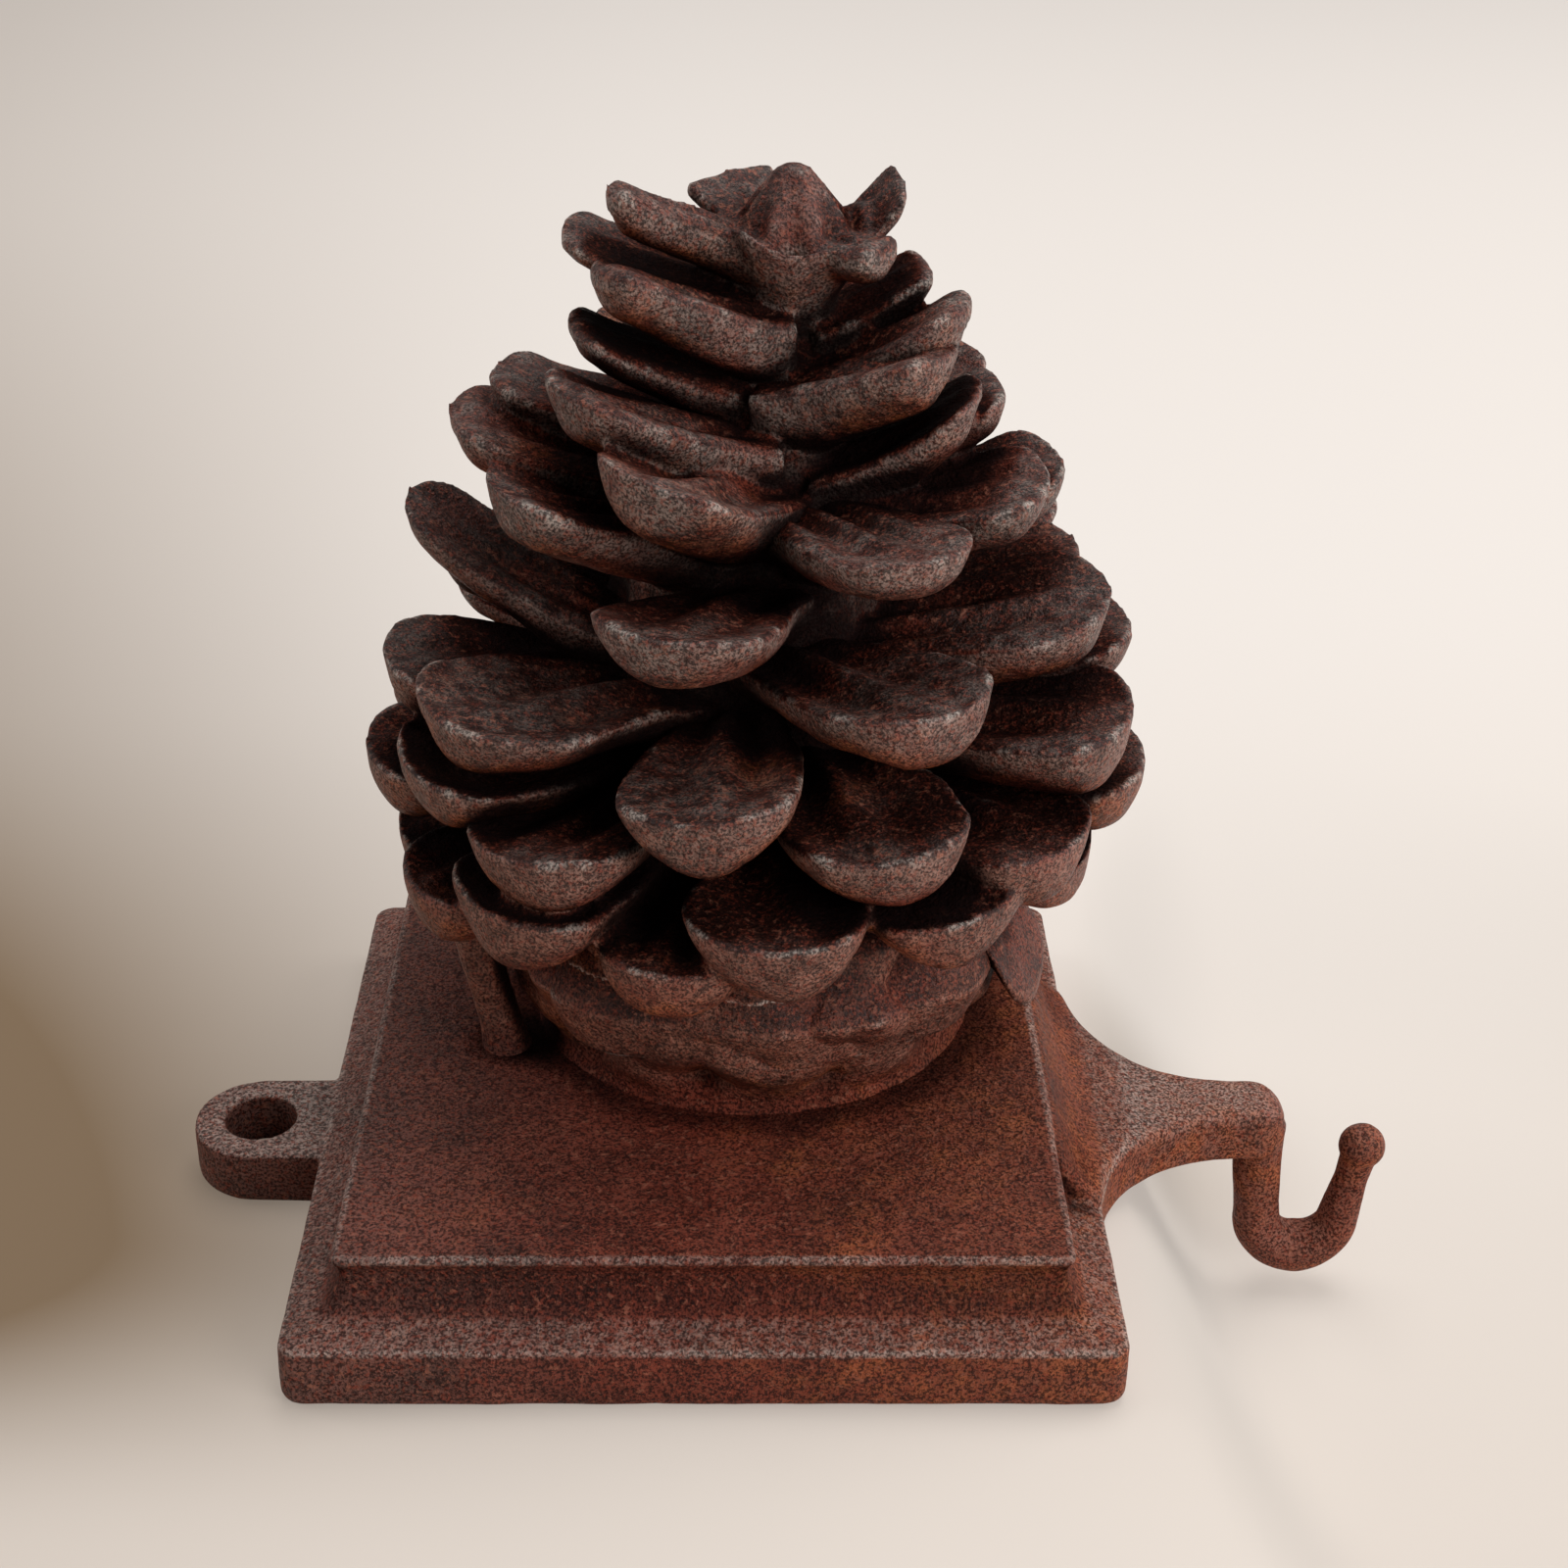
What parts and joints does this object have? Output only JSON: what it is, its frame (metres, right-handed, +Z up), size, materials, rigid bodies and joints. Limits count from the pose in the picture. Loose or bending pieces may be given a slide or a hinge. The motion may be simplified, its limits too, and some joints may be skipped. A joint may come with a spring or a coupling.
{
  "type": "mantel stocking holder",
  "caption": "Cast-iron mantel stocking holder: an open pine cone on a square moulded plinth, with a screw ear on one side and a waisted arm ending in a drop hook on the other.",
  "frame": {"origin": "centre of the plinth's underside", "axes": "+X to the hook, -Y to the viewer of the picture, +Z up"},
  "size_m": [0.1839, 0.1295, 0.1747],
  "materials": {
    "cast_iron": "rusty brown"
  },
  "bodies": {
    "root": {"stocking_holder": "cast_iron"}
  },
  "joints": []
}
